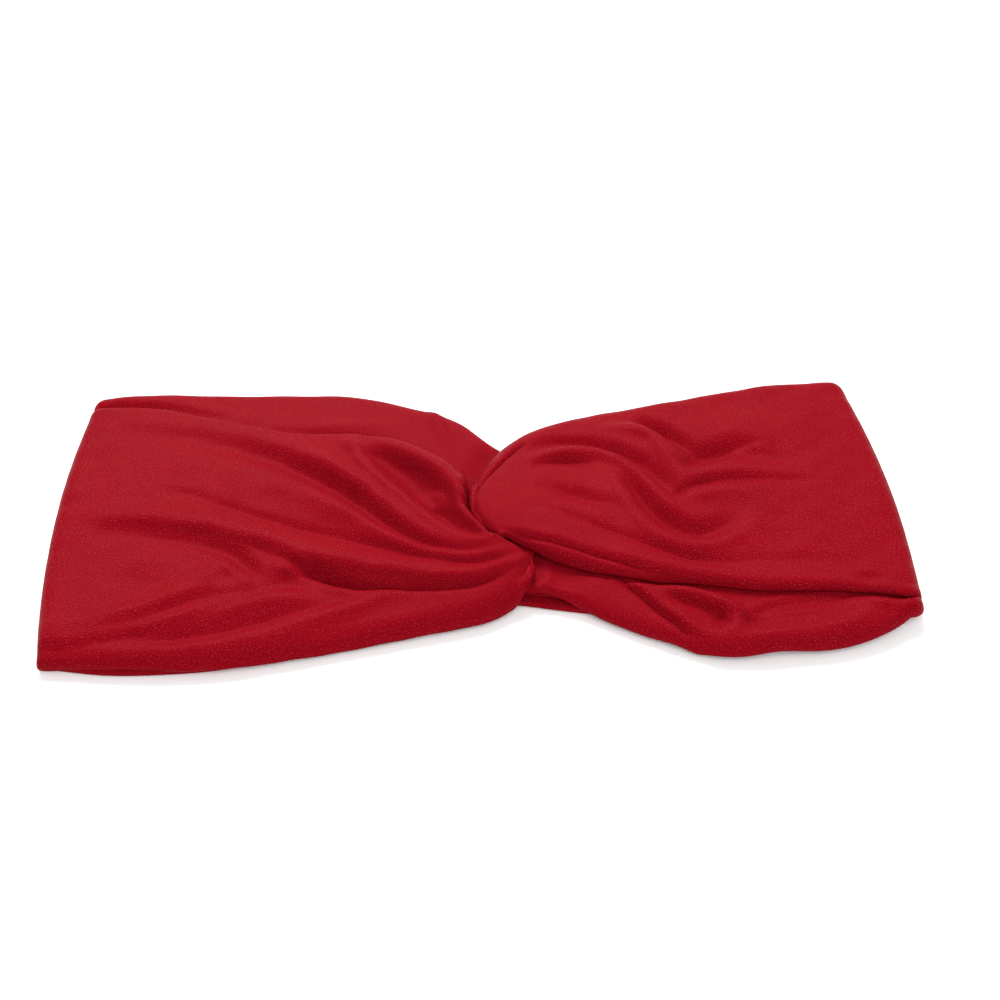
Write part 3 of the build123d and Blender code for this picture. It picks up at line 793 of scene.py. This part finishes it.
def seam_line(middle):
    """The line half way across the inner ply, all along a loop, and the way out of the cloth
    there, both as one row per point, evenly spaced."""
    out = -normals(middle)[:, TOP_COLUMNS // 2]
    line = middle[:, TOP_COLUMNS // 2] + out * PLY_HALF
    along_it = np.concatenate([[0], np.linalg.norm(np.diff(line, axis=0), axis=1).cumsum()])
    want = np.arange(SEAM_MARGIN, along_it[-1] - SEAM_MARGIN, STITCH_LENGTH / 2)
    even = [np.interp(want, along_it, part) for part in (*line.T, *out.T)]
    return np.stack(even[:3], axis=1), np.stack(even[3:], axis=1)


def stitch_points(start, end, up):
    """The points of each stitch, as rings round a thin rod and then its two tips. The rod runs
    from start to end and arches out of the cloth as half a sine wave, and its radius is the
    square root of a sine, so that it narrows at both ends."""
    t = np.linspace(0, 1, STITCH_RINGS)
    radius = THREAD_HALF * np.sqrt(np.sin(math.pi * np.clip(t, STITCH_TAPER, 1 - STITCH_TAPER)))
    run = end - start
    ahead = run / np.linalg.norm(run, axis=1, keepdims=True)
    side = np.cross(ahead, up)
    side /= np.linalg.norm(side, axis=1, keepdims=True)
    lift = np.cross(side, ahead)
    arch = STITCH_ARCH * np.sin(math.pi * t)[:, None] * up[:, None]
    centre = start[:, None] + t[:, None] * run[:, None] + arch
    turn = np.linspace(0, 2 * math.pi, STITCH_SIDES, endpoint=False)[:, None]
    spoke = np.cos(turn) * side[:, None] + np.sin(turn) * lift[:, None]
    rings = centre[:, :, None] + radius[:, None, None] * spoke[:, None]
    tip = ahead * THREAD_HALF
    tips = np.stack([centre[:, 0] - tip, centre[:, -1] + tip], axis=1)
    return np.concatenate([rings.reshape(len(start), -1, 3), tips], axis=1)


def stitch_faces(count):
    """Faces of so many stitches: quads from ring to ring, and triangles to each tip."""
    j = np.arange(STITCH_SIDES)
    k = (j + 1) % STITCH_SIDES
    ring = STITCH_SIDES * np.arange(STITCH_RINGS - 1)[:, None]
    ahead = ring + STITCH_SIDES
    quads = np.stack([ring + j, ahead + j, ahead + k, ring + k], axis=2).reshape(-1, 4)
    tip = STITCH_SIDES * STITCH_RINGS
    last_ring = tip - STITCH_SIDES
    first = np.stack([k, np.full(STITCH_SIDES, tip), j], axis=1)
    last = np.stack([last_ring + j, np.full(STITCH_SIDES, tip + 1), last_ring + k], axis=1)
    base = (tip + 2) * np.arange(count)[:, None, None]
    faces = (base + quads).reshape(-1, 4).tolist()
    return faces + (base + first).reshape(-1, 3).tolist() + (base + last).reshape(-1, 3).tolist()


def stitches(name, start, end, up):
    """A seam's thread, as one short length from each start to its end."""
    return add_piece(name, stitch_points(start, end, up), stitch_faces(len(start)))


def closing_stitches(name, line, out):
    """The stitches that close a tube, with a gap as long as a stitch after each."""
    end = line[1::2]
    start, up = line[0:-1:2], out[0:-1:2]
    return stitches(name, start, end[: len(start)], up)


def back_stitches(name):
    """The centre-back seam: slanting stitches across the joint, on the outer and inner face."""
    y = np.arange(*BACK_SEAM_Y, STITCH_PITCH)
    rows = []
    for z, up in ((BACK_OUTER_Z, -1), (BACK_INNER_Z, 1)):
        start = np.stack([np.full(len(y), -BACK_REACH), y, np.full(len(y), z)], axis=1)
        end = start + np.array([2 * BACK_REACH, STITCH_PITCH / 2, 0])
        rows.append((start, end, np.tile([0.0, 0.0, up], (len(y), 1))))
    start, end, up = (np.concatenate(part) for part in zip(*rows))
    return stitches(name, start, end, up)


def middle_surfaces():
    """The middle surface of each loop. The rear strands lie on the floor, the returns are tucked
    between them and the front strands, and the front strands lie over everything."""
    left_front, left_back = front_and_return(
        LEFT_FRONT, LEFT_BEND, LEFT_RETURN, return_stride=2
    )
    right_front, right_back = front_and_return(
        RIGHT_FRONT, RIGHT_BEND, RIGHT_RETURN, return_stride=1
    )
    left_front = crumple(left_front, LEFT_FOLDS, RIPPLE_HEIGHT, seed=3)
    right_front = crumple(right_front, RIGHT_FOLDS, RIPPLE_HEIGHT, seed=5)
    left_back = crumple(left_back, LEFT_RETURN_FOLDS, SOFT_RIPPLE_HEIGHT, seed=7)
    right_back = crumple(right_back, RIGHT_RETURN_FOLDS, RIPPLE_HEIGHT, seed=9)
    left_rear = rear_strand(LEFT_REAR, seed=11)
    right_rear = rear_strand(RIGHT_REAR, seed=11)
    left_inner = rear_strand(LEFT_REAR_INNER, seed=12)
    right_inner = rear_strand(RIGHT_REAR_INNER, seed=12)
    rear = [left_rear, right_rear, left_inner, right_inner]
    left_front = tuck(left_front, [right_front])
    left_back = lay(tuck(left_back, [left_front, right_front]), rear)
    right_back = lay(tuck(right_back, [left_front, right_front]), rear)
    left_front = lay(left_front, [left_rear, left_back, right_back])
    right_front = lay(right_front, [left_back, right_back, left_front])
    return {
        "left": whole_loop(-1, left_rear, left_front, left_back, left_inner),
        "right": whole_loop(1, right_rear, right_front, right_back, right_inner),
    }


def feed(tree, value, socket):
    """Links a socket to a value that is a socket, or sets it to one that is a number."""
    if isinstance(value, (int, float)):
        socket.default_value = value
    else:
        tree.links.new(value, socket)


def math_node(tree, operation, *operands):
    """One Math node. Each operand is a socket or a number."""
    node = tree.nodes.new("ShaderNodeMath")
    node.operation = operation
    for socket, value in zip(node.inputs, operands):
        feed(tree, value, socket)
    return node.outputs[0]


def noise_node(tree, vector, scale, detail):
    """One noise texture's value."""
    node = tree.nodes.new("ShaderNodeTexNoise")
    tree.links.new(vector, node.inputs["Vector"])
    feed(tree, scale, node.inputs["Scale"])
    node.inputs["Detail"].default_value = detail
    return node.outputs["Fac"]


def cloth_place(tree):
    """The place on the cloth's own map, in millimetres."""
    cloth = tree.nodes.new("ShaderNodeUVMap")
    cloth.uv_map = "cloth"
    to_mm = tree.nodes.new("ShaderNodeVectorMath")
    to_mm.operation = "SCALE"
    to_mm.inputs["Scale"].default_value = 1000
    tree.links.new(cloth.outputs["UV"], to_mm.inputs[0])
    return to_mm.outputs["Vector"]


def wave_node(tree, distance, spacing):
    """A sine wave of a distance, once in each spacing."""
    turn = math_node(tree, "DIVIDE", math_node(tree, "MULTIPLY", distance, 2 * math.pi), spacing)
    return math_node(tree, "SINE", turn)


def centred_noise(tree, value):
    """A noise value with its middle moved to 0."""
    return math_node(tree, "SUBTRACT", value, 0.5)


def painted_glint_mask(tree, fine):
    """Painted glints of light on the brightest grains: 0 up to the start value, and 1 a little above
    it.
    """
    above = math_node(tree, "SUBTRACT", fine, GLINT_START)
    raised = math_node(tree, "MULTIPLY", above, GLINT_GAIN)
    return math_node(tree, "MINIMUM", math_node(tree, "MAXIMUM", raised, 0.0), 1.0)


def knit_group():
    """The knit's own pattern on the cloth map: fine ribs across the strand, softer rows along it
    and slow changes of shade, with painted glints of light on its brightest grains. Shade is
    about 1, the glints' mask runs from 0 to 1, and Height is relative: the bump's distance scales it."""
    tree = bpy.data.node_groups.new("knit_pattern", "ShaderNodeTree")
    for name, value in (("Rib", RIB), ("Row", ROW), ("Grain size", GRAIN_SIZE), ("Cloud", CLOUD)):
        socket = tree.interface.new_socket(name, in_out="INPUT", socket_type="NodeSocketFloat")
        socket.default_value = value
    for name in ("Shade", "Painted glints", "Height"):
        tree.interface.new_socket(name, in_out="OUTPUT", socket_type="NodeSocketFloat")
    given = tree.nodes.new("NodeGroupInput").outputs
    result = tree.nodes.new("NodeGroupOutput").inputs
    place = cloth_place(tree)
    split = tree.nodes.new("ShaderNodeSeparateXYZ")
    tree.links.new(place, split.inputs[0])
    bend = noise_node(tree, place, WANDER_SCALE, 2)
    wander = math_node(tree, "MULTIPLY_ADD", bend, WANDER, -WANDER / 2)
    rib = wave_node(tree, math_node(tree, "ADD", split.outputs["X"], wander), given["Rib"])
    row = wave_node(tree, math_node(tree, "ADD", split.outputs["Y"], wander), given["Row"])
    fine = noise_node(tree, place, math_node(tree, "DIVIDE", 1.0, given["Grain size"]), 2)
    cloud = noise_node(tree, place, math_node(tree, "DIVIDE", 1.0, given["Cloud"]), 3)
    row_shade = math_node(tree, "MULTIPLY", row, ROW_SHADE)
    weave = math_node(tree, "MULTIPLY_ADD", rib, RIB_SHADE, row_shade)
    grain = math_node(tree, "MULTIPLY_ADD", centred_noise(tree, fine), GRAIN_SHADE, weave)
    slow = math_node(tree, "MULTIPLY_ADD", centred_noise(tree, cloud), CLOUD_SHADE, 1.0)
    row_relief = math_node(tree, "MULTIPLY", row, ROW_RELIEF)
    relief = math_node(tree, "MULTIPLY_ADD", rib, RIB_RELIEF, row_relief)
    tree.links.new(math_node(tree, "ADD", slow, grain), result["Shade"])
    # the mask of the painted glints of light
    tree.links.new(painted_glint_mask(tree, fine), result["Painted glints"])
    tree.links.new(math_node(tree, "MULTIPLY_ADD", fine, GRAIN_RELIEF, relief), result["Height"])
    return tree


def knit_colour(tree, knit):
    """The red body times the knit's shade, with a paler pink mixed in as painted glints of light."""
    body = tree.nodes.new("ShaderNodeMix")
    body.data_type = "RGBA"
    body.blend_type = "MULTIPLY"
    body.inputs["Factor"].default_value = 1.0
    body.inputs["A"].default_value = RED_BODY
    tree.links.new(knit.outputs["Shade"], body.inputs["B"])
    bright = tree.nodes.new("ShaderNodeMix")
    bright.data_type = "RGBA"
    # painted glints of light: a paler pink mixed into the colour on the brightest grains
    share = math_node(tree, "MULTIPLY", knit.outputs["Painted glints"], GLINT_SHARE)
    tree.links.new(share, bright.inputs["Factor"])
    tree.links.new(body.outputs["Result"], bright.inputs["A"])
    bright.inputs["B"].default_value = PAINTED_GLINT_RED
    return bright.outputs["Result"]


def red_knit():
    """Smooth polyester jersey: deep red, a soft silky gloss of its own colour, and small glints of
    light painted into its colour.
    """
    material = bpy.data.materials.new("red_knit")
    material.use_nodes = True
    tree = material.node_tree
    shader = tree.nodes["Principled BSDF"]
    shader.inputs["Roughness"].default_value = 0.42
    shader.inputs["Specular IOR Level"].default_value = 0.02
    shader.inputs["Specular Tint"].default_value = (1.0, 0.2, 0.24, 1)
    shader.inputs["Sheen Weight"].default_value = 0.05
    shader.inputs["Sheen Roughness"].default_value = 0.45
    shader.inputs["Sheen Tint"].default_value = (1.0, 0.08, 0.12, 1)
    knit = tree.nodes.new("ShaderNodeGroup")
    knit.node_tree = knit_group()
    tree.links.new(knit_colour(tree, knit), shader.inputs["Base Color"])
    bump = tree.nodes.new("ShaderNodeBump")
    bump.inputs["Strength"].default_value = 0.35
    bump.inputs["Distance"].default_value = 0.00012
    tree.links.new(knit.outputs["Height"], bump.inputs["Height"])
    tree.links.new(bump.outputs["Normal"], shader.inputs["Normal"])
    return material


def red_thread():
    """Spun polyester thread: the cloth's red, a little darker, with fine uneven shade."""
    material = bpy.data.materials.new("red_thread")
    material.use_nodes = True
    nodes, links = material.node_tree.nodes, material.node_tree.links
    shader = nodes["Principled BSDF"]
    shader.inputs["Roughness"].default_value = 0.5
    shader.inputs["Specular IOR Level"].default_value = 0.2
    place = nodes.new("ShaderNodeTexCoord")
    grain = nodes.new("ShaderNodeTexNoise")
    grain.inputs["Scale"].default_value = 1800
    links.new(place.outputs["Object"], grain.inputs["Vector"])
    shade = nodes.new("ShaderNodeMix")
    shade.data_type = "RGBA"
    shade.inputs["A"].default_value = RED_THREAD
    shade.inputs["B"].default_value = RED_BODY
    links.new(grain.outputs["Fac"], shade.inputs["Factor"])
    links.new(shade.outputs["Result"], shader.inputs["Base Color"])
    return material


def studio_floor():
    """The square white floor that the band lies on."""
    mesh = bpy.data.meshes.new("floor")
    size = FLOOR_HALF
    corners = [(-size, -size, 0), (size, -size, 0), (size, size, 0), (-size, size, 0)]
    mesh.from_pydata(corners, [], [(0, 1, 2, 3)])
    floor = bpy.data.objects.new("floor", mesh)
    bpy.context.scene.collection.objects.link(floor)
    material = bpy.data.materials.new("floor_white")
    material.use_nodes = True
    shader = material.node_tree.nodes["Principled BSDF"]
    shader.inputs["Base Color"].default_value = FLOOR_WHITE
    shader.inputs["Roughness"].default_value = 1.0
    mesh.materials.append(material)


def studio_light():
    """Even white surroundings, and two square lights that face the band."""
    world = bpy.data.worlds.new("studio")
    world.use_nodes = True
    world.node_tree.nodes["Background"].inputs["Color"].default_value = (1, 1, 1, 1)
    world.node_tree.nodes["Background"].inputs["Strength"].default_value = WORLD_LIGHT
    bpy.context.scene.world = world
    for name, place, energy, size in LAMPS:
        lamp = bpy.data.lights.new(name, "AREA")
        lamp.energy = energy
        lamp.size = size
        light = bpy.data.objects.new(name, lamp)
        light.location = place
        light.rotation_euler = (-Vector(place)).to_track_quat("-Z", "Y").to_euler()
        bpy.context.scene.collection.objects.link(light)


def camera():
    """Looks down at the middle of the band from the near side."""
    level = math.cos(CAMERA_ELEVATION)
    east, north = math.sin(CAMERA_AZIMUTH), -math.cos(CAMERA_AZIMUTH)
    back = Vector((east * level, north * level, math.sin(CAMERA_ELEVATION)))
    lens = bpy.data.cameras.new("camera")
    lens.sensor_width = CAMERA_SENSOR
    lens.lens = CAMERA_LENS
    lens.shift_x, lens.shift_y = CAMERA_SHIFT
    cam = bpy.data.objects.new("camera", lens)
    cam.location = Vector(CAMERA_TARGET) + back * CAMERA_DISTANCE
    cam.rotation_euler = (-back).to_track_quat("-Z", "Y").to_euler()
    bpy.context.scene.collection.objects.link(cam)
    bpy.context.scene.camera = cam


middles = middle_surfaces()
loops = {side: knit_tube(side + "_knit_loop", middle) for side, middle in middles.items()}
threads = {
    side + "_tube_seam": closing_stitches(side + "_closing_stitches", *seam_line(middle))
    for side, middle in middles.items()
}
threads["back_seam_thread"] = back_stitches("centre_back_stitches")

red = red_knit()
for piece in loops.values():
    piece.data.materials.append(red)
    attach(piece, "root")
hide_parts("left_loop")
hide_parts("right_loop")

thread_red = red_thread()
for node, piece in threads.items():
    piece.data.materials.append(thread_red)
    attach(piece, "root")
    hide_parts(node)

studio_floor()
studio_light()
camera()
bpy.context.scene.view_settings.view_transform = "Standard"
